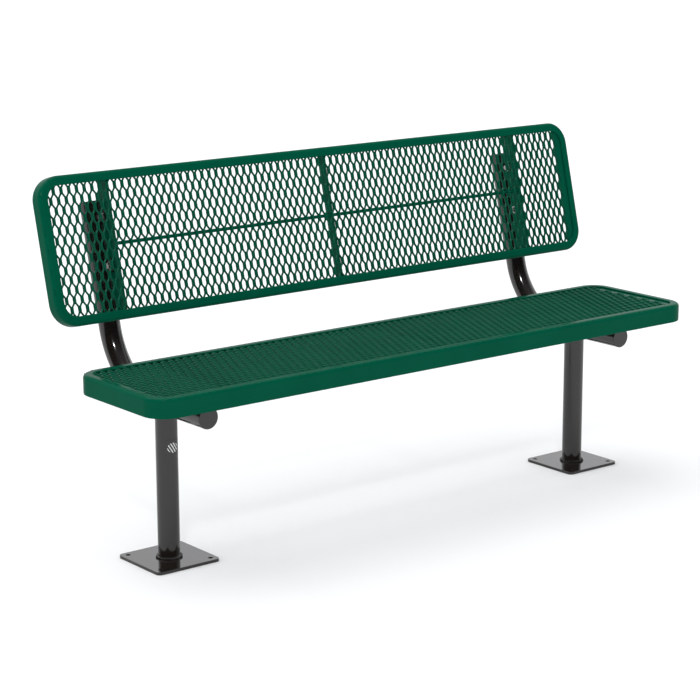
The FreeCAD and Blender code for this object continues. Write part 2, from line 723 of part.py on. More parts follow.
def post_label():
    """Blank film label wrapped on the front of the left post."""
    body = new_body("post_label")
    section = new_sketch(body, "label_section", "XY_Plane")
    inner, outer = size("tube_radius"), size("tube_radius") + size("label_thickness")
    half_turn = size("label_width") / inner / 2
    start, end = -math.pi / 2 - half_turn, -math.pi / 2 + half_turn
    arcs = []
    for radius in (inner, outer):
        circle = Part.Circle(Vector(), Vector(0, 0, 1), radius)
        arcs.append(section.addGeometry(Part.ArcOfCircle(circle, start, end)))
    sides = []
    for angle in (start, end):
        direction = Vector(math.cos(angle), math.sin(angle), 0)
        sides.append(section.addGeometry(Part.LineSegment(direction * inner, direction * outer)))
    for arc, place_on_side in zip(arcs, (1, 2)):
        section.addConstraint(Sketcher.Constraint("Coincident", arc, 3, -1, 1))
        section.addConstraint(Sketcher.Constraint("Coincident", arc, 1, sides[0], place_on_side))
        section.addConstraint(Sketcher.Constraint("Coincident", arc, 2, sides[1], place_on_side))
    for arc, formula in zip(arcs, ("tube_radius", "tube_radius + label_thickness")):
        index = section.addConstraint(Sketcher.Constraint("Radius", arc, evaluate(formula)))
        bind(section, index, formula)
    pad(body, section, "label_height")
    place(body, x="-support_x", y="post_y", z="label_z - label_height / 2")
    return node(body, "post_label")


# ---------------------------------------------------------------- assembly

PANELS = (
    ("seat", "seat_depth", "seat_rim_depth", ("seat_bolt_front", "seat_bolt_rear"), ("front", "rear")),
    ("back", "back_height", "back_rim_depth", ("back_bolt_lower", "back_bolt_upper"), ("lower", "upper")),
)

for panel, width, depth, bolt_rows, row_names in PANELS:
    rim(panel, width, depth)
    mesh(panel, width)
    bar(panel, width, "centre", "0", depth)
    for name, side in SIDES:
        bar(panel, width, name, f"{side} * end_bar_x", "bar_end", bolt_rows)
        rod(panel, width, name, side)
        for which, position in zip(row_names, bolt_rows):
            lug(panel, name, which, side, position)
        fasteners(panel, name, side, bolt_rows)

for name, side in SIDES:
    x = f"{side} * support_x"
    base_plate(name, x)
    post(name, x)
    post_weld(name, x)
    support_tube(name, x)
    caps(name, x)
post_label()

# ---------------------------------------------------------------- export

doc.recompute()
for feature in doc.Objects:
    if "Invalid" in feature.State or "Error" in feature.State:
        raise RuntimeError(f"{feature.Name}: {feature.State}")
os.makedirs("parts", exist_ok=True)
for feature in NODES:
    shape = feature.Shape
    if shape.isNull() or not shape.isValid() or not shape.Solids:
        raise RuntimeError(feature.Label + " has no valid shape")
    shape.exportStep(f"parts/{feature.Label}.step")
    box = shape.BoundBox
    print(f"{feature.Label}: {len(shape.Solids)} solid(s), volume {shape.Volume:.0f},"
          f" z {box.ZMin:.1f} to {box.ZMax:.1f}")
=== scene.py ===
"""Looks of a park bench with a back: coated mesh panels on two painted tube supports.

Lengths are in metres.  +X runs along the bench, +Y from the seat's front edge to the back, +Z up.
Panel pieces are modelled in their panel's own frame (x along the bench, y across the panel from its
front or lower edge, z = 0 at the face) and then put in place.
"""
import math

import bpy
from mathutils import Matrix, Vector


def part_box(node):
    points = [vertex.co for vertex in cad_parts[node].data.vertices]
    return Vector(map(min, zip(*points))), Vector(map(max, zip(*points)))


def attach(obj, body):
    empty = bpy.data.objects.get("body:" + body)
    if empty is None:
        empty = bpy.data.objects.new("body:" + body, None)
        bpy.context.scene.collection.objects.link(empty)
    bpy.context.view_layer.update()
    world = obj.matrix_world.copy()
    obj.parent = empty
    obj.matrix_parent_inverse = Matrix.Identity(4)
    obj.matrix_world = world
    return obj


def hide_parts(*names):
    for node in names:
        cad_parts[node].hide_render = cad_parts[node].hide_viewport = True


bl_info = {
    "name": "Park bench looks",
    "version": (1, 0, 0),
    "blender": (4, 5, 0),
    "location": "3D View > Sidebar > Bench",
    "description": "Builds the visible pieces of a park bench around its CAD frame",
    "category": "Object",
}

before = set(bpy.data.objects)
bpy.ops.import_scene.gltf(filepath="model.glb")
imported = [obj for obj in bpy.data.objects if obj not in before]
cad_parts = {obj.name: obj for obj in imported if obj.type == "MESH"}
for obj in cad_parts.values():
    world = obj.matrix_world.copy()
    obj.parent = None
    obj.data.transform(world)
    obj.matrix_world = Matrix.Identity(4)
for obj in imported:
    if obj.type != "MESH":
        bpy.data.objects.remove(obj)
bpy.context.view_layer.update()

PANELS = ("seat", "back")
SIDES = {"left": -1, "right": 1}

# How finely round shapes are divided.
TUBE_SIDES = 56
DRILL_SIDES = 32
STRAND_SIDES = 8
BEND_STEPS = 20
RIM_CORNER_STEPS = 14
PLATE_CORNER_STEPS = 8
RIM_ROUND_STEPS = 6
EDGE_STEPS = 3
CORNER_CUTS = (22.5, 45, 67.5)

# How close points have to be to count as one, as level, or as lying on a rounded outline.
MERGE = 0.00001
LEVEL_SLACK = 0.0005
OUTLINE_SLACK = 0.0008

# Weld ripples: swelling (share, rhythm), squash along the bead, how the bead sits in its corner, and
# the saddle's length in tube radii over pi.
SWELLS = ((0.14, 2.4), (0.10, 5.1))
RIPPLE_SQUASH = 0.62
BEAD_OUT = 0.35
BEAD_UP = 0.3
SADDLE_LENGTH = 2.3

# Coating skin and dust.
PATCH_SCALE = 9.0
PATCH_LIFT = 1.6
WAVE_SHARE = 2.0
GLOSS_RANGE = (0.85, 1.2)
DUST_SLOPE = (0.55, 1.0)
DUST_CLOUD_SCALE = 26.0
DUST_THINNEST = 0.25
DUST_DULLING = 0.5


# ---------------------------------------------------------------- properties

def length(label, value, text):
    """Property for a length in metres."""
    return bpy.props.FloatProperty(
        name=label, description=text, default=value, unit="LENGTH", precision=5)


def angle(label, degrees, text):
    """Property for an angle."""
    return bpy.props.FloatProperty(
        name=label, description=text, default=math.radians(degrees), subtype="ANGLE")


def factor(label, value, text):
    """Property for a share between 0 and 1."""
    return bpy.props.FloatProperty(
        name=label, description=text, default=value, min=0, max=1, subtype="FACTOR")


def colour(label, value, text):
    """Property for a linear colour."""
    return bpy.props.FloatVectorProperty(
        name=label, description=text, default=value, size=3, min=0, max=1, subtype="COLOR")


class BenchSizes(bpy.types.PropertyGroup):
    """Sizes of the bench, the same as the CAD frame's."""

    bench_length: length("Bench length", 1.829, "Length of both panels")
    seat_depth: length("Seat depth", 0.381, "Front edge to rear edge")
    seat_height: length("Seat height", 0.504, "Floor to the seat's face")
    back_height: length("Back height", 0.386, "Lower edge to upper edge")
    front_y: length("Front", -0.314175, "Where the seat's front edge is")
    back_y: length("Back's lower edge", 0.123825, "Where the back's lower front edge is")
    back_z: length("Back's rise", 0.604, "Floor to the back's lower front edge")
    recline: angle("Recline", 14, "The back's lean from upright")
    corner: length("Corner radius", 0.0635, "Outer corners of both rims")
    seat_rim: length("Seat rim depth", 0.0508, "Depth of the seat's rim")
    back_rim: length("Back rim depth", 0.038, "Depth of the back's rim")
    flange: length("Flange", 0.0254, "Width of a rim's face")
    wall: length("Wall", 0.005, "Coated thickness of a rim")
    rim_round: length("Rim rounding", 0.010, "Radius of a rim's outer edge")
    lip_round: length("Lip rounding", 0.0022, "Radius of the coating over a cut edge")
    pitch_short: length("Short pitch", 0.0227, "Mesh pitch along the bench")
    pitch_long: length("Long pitch", 0.0508, "Mesh pitch across a panel")
    strand_width: length("Strand width", 0.0044, "Spacing of two strands where they join")
    strand_skin: length("Strand skin", 0.0022, "Extra width of a coated strand")
    strand_thickness: length("Strand thickness", 0.0060, "Coated thickness of a strand")
    strand_tilt: angle("Strand tilt", 72, "Turn of a strand out of the panel")
    bond: length("Bond", 0.0145, "Length over which two strands stay joined")
    mesh_drop: length("Mesh drop", 0.0064, "Panel's face to the middle of the mesh")
    selvage_thickness: length("Selvage thickness", 0.0050, "Coated thickness of the unslit strip")
    selvage: length("Selvage", 0.024, "Unslit strip at the bench's right end")
    selvage_lap: length("Selvage lap", 0.004, "How far the strands run on over the unslit strip")
    selvage_bite: length("Selvage bite", 0.0003, "How far the unslit strip sinks into the flange")
    back_bond_x: length("Back bond, along", -0.3002, "Where one column of the back's bonds is")
    back_bond_y: length("Back bond, up", 0.2200, "Where one row of the back's bonds is")
    bar_thickness: length("Bar thickness", 0.005, "Flat bars on edge")
    bar_end: length("Bar reach", 0.056325, "Panel's face to an end bar's far edge")
    seat_bar_cut: length("Seat bar cut", 0.016, "Cut corners of the seat's end bars")
    back_bar_cut: length("Back bar cut", 0.008, "Cut corners of the back's end bars")
    edge_round: length("Edge rounding", 0.0012, "Radius of a coated edge on bars and caps")
    bar_x: length("End bars", 0.706, "Middle of the bench to an end bar")
    tube_radius: length("Tube radius", 0.028575, "Supports and posts")
    support_x: length("Supports", 0.7167, "Middle of the bench to a support")
    post_y: length("Posts", -0.04941, "Where the posts stand")
    arm_z: length("Arm height", 0.4151, "Floor to an arm's axis")
    arm_start: length("Arm start", -0.237175, "Where an arm's tube starts")
    bend_start: length("Bend start", 0.00959, "Where an arm starts to turn up")
    bend_radius: length("Bend radius", 0.2032, "Of the tube's axis")
    upright: length("Upright", 0.32643, "Straight tube above the bend")
    cap: length("Cap", 0.003, "Thickness of an end cap")
    overlap: length("Overlap", 0.001, "How far painted pieces run into each other")
    post_reach: length("Post reach", 0.004, "Arm's axis to a post's upper end")
    plate_side: length("Base plate", 0.1905, "Side of a base plate")
    plate_thickness: length("Plate thickness", 0.008, "Of a base plate")
    plate_corner: length("Plate corner", 0.0127, "Corner radius of a base plate")
    plate_edge: length("Plate edge", 0.0009, "Radius of the paint on a plate's edges")
    anchor_spacing: length("Anchor spacing", 0.1524, "Between anchor holes")
    anchor_hole: length("Anchor hole", 0.0127, "Diameter of an anchor hole")
    bead: length("Weld bead", 0.0048, "Half width of a weld bead")
    bead_step: length("Weld ripple", 0.0062, "Distance between a weld's ripples")
    mark_height: length("Mark height", 0.013, "Half height of the label's oval mark")
    mark_width: length("Mark width", 0.015, "Half width of the label's oval mark")


class BenchLooks(bpy.types.PropertyGroup):
    """Finishes of the bench and its surroundings."""

    green: colour("Coating", (0.0002, 0.068, 0.036), "Dipped coating of the panels")
    green_rough: factor("Coating roughness", 0.13, "Roughness of the dipped coating")
    paint: colour("Paint", (0.0085, 0.006, 0.005), "Paint of the supports")
    paint_rough: factor("Paint roughness", 0.13, "Roughness of the paint")
    coat_rough: factor("Coat roughness", 0.06, "Roughness of the clear coat on the paint")
    zinc: colour("Fasteners", (0.62, 0.62, 0.60), "Plated fasteners")
    mark: colour("Label mark", (0.75, 0.76, 0.76), "Pale strokes on the label")
    dust: colour("Dust", (0.30, 0.29, 0.26), "Dust settled on faces that look up")
    floor: colour("Floor", (0.795, 0.797, 0.80), "Plain floor")
    floor_mirrored: factor("Floor in gloss", 0.45, "Share of the floor's tone that gloss picks up")
    room: colour("Room", (0.93, 0.94, 0.955), "Light from all round")
    room_dark: colour("Dark side", (0.012, 0.013, 0.014), "What gloss picks up in front and beside")
    room_pale: colour("Pale side", (0.68, 0.69, 0.70), "What gloss picks up behind and overhead")


def sizes():
    """The bench's sizes."""
    return bpy.context.scene.bench_sizes


def looks():
    """The bench's finishes."""
    return bpy.context.scene.bench_looks


# ---------------------------------------------------------------- modelling

def take_new(name):
    """The object that an operator has just added, named, with its place put into its mesh."""
    piece = bpy.context.object
    piece.name = name
    piece.data.name = name
    settle(piece)
    return piece


def pick(piece):
    """Makes a piece the only one selected and the active one."""
    bpy.ops.object.select_all(action="DESELECT")
    piece.select_set(True)
    bpy.context.view_layer.objects.active = piece


def settle(piece):
    """Puts an object's place, turn and scale into its mesh."""
    pick(piece)
    bpy.ops.object.transform_apply(location=True, rotation=True, scale=True)


def box(name, low, high):
    """Box between two corners."""
    low, high = Vector(low), Vector(high)
    bpy.ops.object.select_all(action="DESELECT")
    bpy.ops.mesh.primitive_cube_add(size=1, location=(low + high) / 2)
    bpy.context.object.scale = high - low
    return take_new(name)


def tube(name, radius, start, end, count=TUBE_SIDES):
    """Closed cylinder between two points."""
    start, end = Vector(start), Vector(end)
    turn = (end - start).to_track_quat("Z", "Y").to_euler()
    bpy.ops.object.select_all(action="DESELECT")
    bpy.ops.mesh.primitive_cylinder_add(
        vertices=count, radius=radius, depth=(end - start).length, location=(start + end) / 2,
        rotation=turn)
    return take_new(name)


def choose(piece, kind, test):
    """Enters edit mode with those edges or faces chosen that pass the test."""
    pick(piece)
    bpy.ops.object.mode_set(mode="EDIT")
    bpy.ops.mesh.select_mode(type=kind)
    bpy.ops.mesh.select_all(action="DESELECT")
    bpy.ops.object.mode_set(mode="OBJECT")
    mesh = piece.data
    if kind == "FACE":
        for face in mesh.polygons:
            face.select = test(face)
    else:
        for edge in mesh.edges:
            edge.select = test(*(mesh.vertices[i].co for i in edge.vertices))
    bpy.ops.object.mode_set(mode="EDIT")


def leave_edit():
    """Turns all faces outward and leaves edit mode."""
    bpy.ops.mesh.select_all(action="SELECT")
    bpy.ops.mesh.normals_make_consistent(inside=False)
    bpy.ops.object.mode_set(mode="OBJECT")


def round_edges(piece, width, count, test):
    """Rounds the edges that pass a test of their two ends."""
    choose(piece, "EDGE", test)
    bpy.ops.mesh.bevel(offset=width, segments=count, affect="EDGES")
    leave_edit()


def finish_surface(piece, degrees=35):
    """Smooth shading that keeps flat faces flat beside their roundings."""
    pick(piece)
    bpy.ops.object.shade_smooth_by_angle(angle=math.radians(degrees))
    add_and_apply(piece, "WEIGHTED_NORMAL", keep_sharp=True)


def add_and_apply(piece, kind, **settings):
    """Adds a modifier with its settings and applies it."""
    modifier = piece.modifiers.new(kind.title(), kind)
    for key, value in settings.items():
        setattr(modifier, key, value)
    bpy.context.view_layer.objects.active = piece
    bpy.ops.object.modifier_apply(modifier=modifier.name)


def into_panel(piece, panel):
    """Moves a piece from its panel's frame to the bench's."""
    s = sizes()
    if panel == "seat":
        piece.location = (0, s.front_y, s.seat_height)
    else:
        piece.rotation_euler = (math.pi / 2 - s.recline, 0, 0)
        piece.location = (0, s.back_y, s.back_z)
    settle(piece)


def panel_size(panel):
    """Width across a panel and the depth of its rim."""
    s = sizes()
    return (s.seat_depth, s.seat_rim) if panel == "seat" else (s.back_height, s.back_rim)


def join(name, pieces):
    """Joins pieces into one."""
    bpy.ops.object.select_all(action="DESELECT")
    for piece in pieces:
        piece.select_set(True)
    bpy.context.view_layer.objects.active = pieces[0]
    bpy.ops.object.join()
    pieces[0].name = name
    return pieces[0]


def hand_over(piece, material, slot, *nodes):
    """Gives a finished piece its material, hangs it under the root body and hides the CAD nodes, if
    any, that it stands for.
    """
    piece.data.materials.clear()
    piece.data.materials.append(material)
    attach(piece, "root")
    if nodes:
        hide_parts(*nodes)


def paint_node(node, material):
    """Gives a carried-over CAD node its material."""
    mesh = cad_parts[node].data
    mesh.materials.clear()
    mesh.materials.append(material)


# ---------------------------------------------------------------- materials

def new_group(name, inputs, outputs):
    """Node group with sockets given as (name, type, default)."""
    group = bpy.data.node_groups.new(name, "ShaderNodeTree")
    for label, kind, default in inputs:
        socket = group.interface.new_socket(label, in_out="INPUT", socket_type="NodeSocket" + kind)
        socket.default_value = default
    for label, kind in outputs:
        group.interface.new_socket(label, in_out="OUTPUT", socket_type="NodeSocket" + kind)
    enter = group.nodes.new("NodeGroupInput")
    leave = group.nodes.new("NodeGroupOutput")
    return group, enter, leave


def feed(group, value, socket):
    """Gives a socket a number, a colour or a link."""
    if isinstance(value, (int, float)):
        socket.default_value = value
    elif isinstance(value, tuple):
        socket.default_value = (*value, 1)
    else:
        group.links.new(value, socket)


def noise(group, vector, scale, detail):
    """Noise texture over a set of coordinates."""
    texture = group.nodes.new("ShaderNodeTexNoise")
    texture.inputs["Detail"].default_value = detail
    group.links.new(vector, texture.inputs["Vector"])
    feed(group, scale, texture.inputs["Scale"])
    return texture.outputs["Fac"]


def math_node(group, operation, *values):
    """Arithmetic on sockets or numbers."""
    node = group.nodes.new("ShaderNodeMath")
    node.operation = operation
    for socket, value in zip(node.inputs, values):
        feed(group, value, socket)
    return node.outputs[0]


def vector_node(group, operation, first, second):
    """Arithmetic on two vectors, the second a socket or three numbers."""
    node = group.nodes.new("ShaderNodeVectorMath")
    node.operation = operation
    group.links.new(first, node.inputs[0])
    if isinstance(second, tuple):
        node.inputs[1].default_value = second
    else:
        group.links.new(second, node.inputs[1])
    return node.outputs


def split_vector(group, vector):
    """The three parts of a vector."""
    node = group.nodes.new("ShaderNodeSeparateXYZ")
    group.links.new(vector, node.inputs[0])
    return node.outputs


def stretch(group, value, low, high, start=0.35, end=0.65):
    """Turns values from start to end into values from low to high."""
    node = group.nodes.new("ShaderNodeMapRange")
    group.links.new(value, node.inputs["Value"])
    limits = {"From Min": start, "From Max": end, "To Min": low, "To Max": high}
    for label, number in limits.items():
        feed(group, number, node.inputs[label])
    return node.outputs["Result"]


def mix_colours(group, share, first, second):
    """Mixes two colours by a share."""
    node = group.nodes.new("ShaderNodeMix")
    node.data_type = "RGBA"
    for place, value in ((0, share), (6, first), (7, second)):
        feed(group, value, node.inputs[place])
    return node.outputs[2]


def coating_skin():
    """Skin of a coating: fine orange peel, slow waves, faint mottling and uneven gloss."""
    group, enter, leave = new_group(
        "CoatingSkin",
        (("Color", "Color", (0.1, 0.1, 0.1, 1)), ("Roughness", "Float", 0.3),
         ("Peel Scale", "Float", 900.0), ("Wave Scale", "Float", 60.0),
         ("Mottling", "Float", 0.15)),
        (("Color", "Color"), ("Roughness", "Float"), ("Height", "Float")))
    place = group.nodes.new("ShaderNodeTexCoord").outputs["Object"]
    peel = noise(group, place, enter.outputs["Peel Scale"], 1.0)
    wave = noise(group, place, enter.outputs["Wave Scale"], 2.0)
    patch = noise(group, place, PATCH_SCALE, 3.0)
    group.links.new(math_node(group, "ADD", peel, math_node(group, "MULTIPLY", wave, WAVE_SHARE)),
                    leave.inputs["Height"])
    shade = stretch(group, patch, 0.0, enter.outputs["Mottling"])
    pale = group.nodes.new("ShaderNodeHueSaturation")
    pale.inputs["Value"].default_value = PATCH_LIFT
    group.links.new(enter.outputs["Color"], pale.inputs["Color"])
    group.links.new(mix_colours(group, shade, enter.outputs["Color"], pale.outputs["Color"]),
                    leave.inputs["Color"])
    uneven = stretch(group, patch, *GLOSS_RANGE)
    group.links.new(math_node(group, "MULTIPLY", enter.outputs["Roughness"], uneven),
                    leave.inputs["Roughness"])
    return group


def settled_dust():
    """Mask of the thin dust on faces that look up."""
    group, enter, leave = new_group(
        "SettledDust", (("Amount", "Float", 0.1),), (("Mask", "Float"),))
    coordinates = group.nodes.new("ShaderNodeTexCoord")
    surface = group.nodes.new("ShaderNodeNewGeometry")
    normal = split_vector(group, surface.outputs["Normal"])
    upward = stretch(group, normal["Z"], 0.0, 1.0, *DUST_SLOPE)
    patches = noise(group, coordinates.outputs["Object"], DUST_CLOUD_SCALE, 4.0)
    cloud = stretch(group, patches, DUST_THINNEST, 1.0)
    mask = math_node(group, "MULTIPLY", upward, cloud)
    group.links.new(math_node(group, "MULTIPLY", mask, enter.outputs["Amount"]),
                    leave.inputs["Mask"])
    return group


def label_mark():
    """Mask of slanting strokes inside an oval in the middle of the label."""
    group, enter, leave = new_group(
        "LabelMark",
        (("Centre", "Vector", (0, 0, 0)), ("Spacing", "Float", 0.008), ("Slant", "Float", 0.6),
         ("Stroke", "Float", 0.62), ("Half Height", "Float", 0.013),
         ("Half Width", "Float", 0.015)),
        (("Mask", "Float"),))
    place = group.nodes.new("ShaderNodeTexCoord").outputs["Object"]
    offset = vector_node(group, "SUBTRACT", place, enter.outputs["Centre"])[0]
    parts = split_vector(group, offset)
    slant = math_node(group, "ADD", parts["X"],
                      math_node(group, "MULTIPLY", parts["Z"], enter.outputs["Slant"]))
    steps = math_node(group, "DIVIDE", slant, enter.outputs["Spacing"])
    wave = math_node(group, "SINE", math_node(group, "MULTIPLY", steps, math.pi))
    height = math_node(group, "ABSOLUTE", wave)
    stroke = math_node(group, "LESS_THAN", height, enter.outputs["Stroke"])
    squares = []
    for axis, reach in (("Z", "Half Height"), ("X", "Half Width")):
        distance = math_node(group, "ABSOLUTE", parts[axis])
        share = math_node(group, "DIVIDE", distance, enter.outputs[reach])
        squares.append(math_node(group, "POWER", share, 2.0))
    inside = math_node(group, "LESS_THAN", math_node(group, "ADD", *squares), 1.0)
    group.links.new(math_node(group, "MULTIPLY", stroke, inside), leave.inputs["Mask"])
    return group


def group_named(name, maker):
    """A shared node group, made the first time it is asked for."""
    return bpy.data.node_groups.get(name) or maker()


def marked_tint(tree, tint):
    """The label's colour with its pale mark over it."""
    s = sizes()
    low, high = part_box("post_label")
    strokes = tree.nodes.new("ShaderNodeGroup")
    strokes.node_tree = group_named("LabelMark", label_mark)
    strokes.inputs["Centre"].default_value = (-s.support_x, low.y, (low.z + high.z) / 2)
    strokes.inputs["Half Height"].default_value = s.mark_height
    strokes.inputs["Half Width"].default_value = s.mark_width
    return mix_colours(tree, strokes.outputs["Mask"], tint, tuple(looks().mark))


def coated_material(name, base, rough, peel, wave, bump, coat=0.0, dust=0.0, metal=0.0,
                    shine=0.5, ior=1.5, mark=False):
    """Principled material under the shared coating skin and dust groups."""
    made = bpy.data.materials.get(name)
    if made:
        return made
    made = bpy.data.materials.new(name)
    made.use_nodes = True
    tree = made.node_tree
    surface = tree.nodes["Principled BSDF"]
    skin = tree.nodes.new("ShaderNodeGroup")
    skin.node_tree = group_named("CoatingSkin", coating_skin)
    skin.inputs["Color"].default_value = (*base, 1)
    skin.inputs["Roughness"].default_value = rough
    skin.inputs["Peel Scale"].default_value = peel
    skin.inputs["Wave Scale"].default_value = wave
    dusting = tree.nodes.new("ShaderNodeGroup")
    dusting.node_tree = group_named("SettledDust", settled_dust)
    dusting.inputs["Amount"].default_value = dust
    tint = marked_tint(tree, skin.outputs["Color"]) if mark else skin.outputs["Color"]
    shown = mix_colours(tree, dusting.outputs["Mask"], tint, tuple(looks().dust))
    tree.links.new(shown, surface.inputs["Base Color"])
    duller = math_node(tree, "ADD", skin.outputs["Roughness"],
                       math_node(tree, "MULTIPLY", dusting.outputs["Mask"], DUST_DULLING))
    tree.links.new(duller, surface.inputs["Roughness"])
    bumps = tree.nodes.new("ShaderNodeBump")
    bumps.inputs["Strength"].default_value = 1.0
    bumps.inputs["Distance"].default_value = bump
    tree.links.new(skin.outputs["Height"], bumps.inputs["Height"])
    tree.links.new(bumps.outputs["Normal"], surface.inputs["Normal"])
    surface.inputs["Metallic"].default_value = metal
    surface.inputs["Specular IOR Level"].default_value = shine
    surface.inputs["IOR"].default_value = ior
    surface.inputs["Coat Weight"].default_value = coat
    surface.inputs["Coat Roughness"].default_value = looks().coat_rough
    return made


def green_coating():
    """Thick dipped coating of the rims, bars and rods."""
    return coated_material("green_coating", looks().green, looks().green_rough, peel=700, wave=45,
                           bump=0.00006, dust=0.01, shine=0.15, ior=1.25)


def mesh_coating():
    """The same coating over the strands, a little livelier."""
    return coated_material("mesh_coating", looks().green, looks().green_rough, peel=900, wave=90,
                           bump=0.00005, dust=0.01, shine=0.4, ior=1.25)


def dark_paint():
    """Glossy paint of the supports."""
    return coated_material("dark_paint", looks().paint, looks().paint_rough, peel=1100, wave=70,
                           bump=0.00002, coat=1.0, dust=0.02, shine=0.9)


def plating():
    """Plated steel of the fasteners."""
    return coated_material("plating", looks().zinc, 0.32, peel=1500, wave=200,
                           bump=0.00001, dust=0.05, metal=1.0)


def label_film():
    """Glossy film with pale strokes."""
    return coated_material("label_film", looks().paint, looks().paint_rough, peel=1100, wave=70,
                           bump=0.00002, coat=1.0, shine=0.9, mark=True)


# ---------------------------------------------------------------- panels

def build_rim(panel):
    """Formed rim: a flange round the face, a rounded outer edge and a wall with soft cut edges."""
    s = sizes()
    width, depth = panel_size(panel)
    half = s.bench_length / 2
    rim = box(panel + "_rim_coated", (-half, 0, -depth), (half, width, 0))
    round_edges(rim, s.corner, RIM_CORNER_STEPS, lambda a, b: abs(a.z - b.z) > depth / 2)
    choose(rim, "FACE", lambda face: face.normal.z > 0.9)
    bpy.ops.mesh.inset(thickness=s.flange)
    leave_edit()
    choose(rim, "FACE", lambda face: face.normal.z < -0.9)
    bpy.ops.mesh.inset(thickness=s.wall)
    bpy.ops.mesh.extrude_region_move(TRANSFORM_OT_translate={"value": (0, 0, depth - s.wall)})
    bpy.ops.mesh.inset(thickness=s.flange - s.wall)
    bpy.ops.object.mode_set(mode="OBJECT")

    def is_window(face):
        """Whether a face fills the flange's opening, at the face or behind the flange."""
        reach = max(abs(rim.data.vertices[i].co.x) for i in face.vertices)
        return (face.area > s.bench_length * width / 4 and abs(face.center.z) < s.wall * 1.1
                and reach < half - s.flange + 0.0001)

    choose(rim, "FACE", is_window)
    bpy.ops.mesh.bridge_edge_loops()
    leave_edit()

    def on_outline(point, inset):
        """Whether a point lies on the rounded outline that is set in by some distance."""
        x = max(abs(point.x) - (half - s.corner), 0)
        y = max(abs(point.y - width / 2) - (width / 2 - s.corner), 0)
        reach = math.hypot(x, y) if x > 0 and y > 0 else max(x, y)
        return abs(reach - (s.corner - inset)) < OUTLINE_SLACK

    loops = [(0, 0, s.rim_round, RIM_ROUND_STEPS)]
    for inset, z in ((s.flange, 0), (s.flange, -s.wall), (0, -depth), (s.wall, -depth)):
        loops.append((inset, z, s.lip_round, EDGE_STEPS))
    for inset, z, radius, count in loops:
        round_edges(rim, radius, count, lambda a, b: all(
            abs(point.z - z) < LEVEL_SLACK and on_outline(point, inset) for point in (a, b)))
    finish_surface(rim)
    into_panel(rim, panel)
    return rim


def strand_pair(name, start_x, start_y):
    """Two neighbouring zigzag strands over one long pitch, joined at their bonds."""
    s = sizes()
    row = s.pitch_long / 2
    step = s.pitch_short / 2
    lean = Vector((math.cos(s.strand_tilt), 0, math.sin(s.strand_tilt))) * s.strand_width / 2
    bpy.ops.object.select_all(action="DESELECT")
    bpy.ops.mesh.primitive_circle_add(
        vertices=STRAND_SIDES, radius=0.5, rotation=(0, 0, math.pi / STRAND_SIDES))
    ring = take_new(name)
    ring.scale = (s.strand_width + s.strand_skin, s.strand_thickness, 1)
    settle(ring)
    ring.rotation_euler = (math.pi / 2, 0, 0)
    settle(ring)
    ring.rotation_euler = (0, -s.strand_tilt, 0)
    right = Vector((start_x, start_y, -s.mesh_drop)) - lean
    left = Vector((start_x - step, start_y + row, -s.mesh_drop)) + lean
    ring.location = right - Vector((0, s.bond / 2, 0))
    settle(ring)
    along = Vector((0, s.bond, 0))
    over = left - right - along
    back = Vector((-over.x, over.y, -over.z))
    choose(ring, "EDGE", lambda a, b: True)
    for move in (along, over / 2, over / 2, along, back / 2, back / 2):
        bpy.ops.mesh.extrude_region_move(TRANSFORM_OT_translate={"value": move})
    bpy.ops.mesh.select_all(action="SELECT")
    bpy.ops.mesh.duplicate_move(TRANSFORM_OT_translate={"value": (step, row, 0)})
    bpy.ops.object.mode_set(mode="OBJECT")
    return ring


def build_mesh(panel, phase_x, phase_y):
    """Expanded sheet: zigzag strands joined at bonds, cut off inside the rim's wall."""
    s = sizes()
    width = panel_size(panel)[0]
    half = s.bench_length / 2
    columns = math.ceil((phase_x + half) / s.pitch_short) + 1
    rows = math.ceil(phase_y / s.pitch_long) + 1
    net = strand_pair(panel + "_mesh_strands", phase_x - columns * s.pitch_short,
                      phase_y - rows * s.pitch_long)
    add_and_apply(net, "ARRAY", count=math.ceil(width / s.pitch_long) + 3,
                  use_relative_offset=False, use_constant_offset=True,
                  constant_offset_displace=(0, s.pitch_long, 0),
                  use_merge_vertices=True, merge_threshold=5 * MERGE)
    add_and_apply(net, "ARRAY", count=math.ceil(s.bench_length / s.pitch_short) + 3,
                  use_relative_offset=False, use_constant_offset=True,
                  constant_offset_displace=(s.pitch_short, 0, 0))
    choose(net, "FACE", lambda face: True)
    edge = s.wall / 2
    strip = half - s.flange - s.selvage + s.selvage_lap
    cuts = [((0, edge, 0), (0, -1, 0)), ((0, width - edge, 0), (0, 1, 0)),
            ((-half + edge, 0, 0), (-1, 0, 0)), ((strip, 0, 0), (1, 0, 0))]
    for middle, side in ((s.corner, -1), (width - s.corner, 1)):
        centre = Vector((-half + s.corner, middle, 0))
        for degrees in CORNER_CUTS:
            turn = math.radians(degrees)
            outward = Vector((-math.cos(turn), side * math.sin(turn), 0))
            cuts.append((centre + outward * (s.corner - edge), outward))
    for point, direction in cuts:
        bpy.ops.mesh.select_all(action="SELECT")
        bpy.ops.mesh.bisect(plane_co=point, plane_no=direction, clear_outer=True, use_fill=False)
    leave_edit()
    bpy.ops.object.shade_smooth()
    selvage = box(panel + "_selvage",
                  (half - s.flange - s.selvage, s.wall, -s.wall - s.selvage_thickness),
                  (half - s.wall, width - s.wall, -s.wall + s.selvage_bite))
    round_edges(selvage, s.corner, PLATE_CORNER_STEPS, lambda a, b: (
        min(a.x, b.x) > half - s.flange and abs(a.z - b.z) > s.selvage_thickness / 2))
    round_edges(selvage, s.edge_round, EDGE_STEPS, lambda a, b: abs(a.z - b.z) < LEVEL_SLACK)
    finish_surface(selvage)
    net = join(net.name, [net, selvage])
    into_panel(net, panel)
    return net


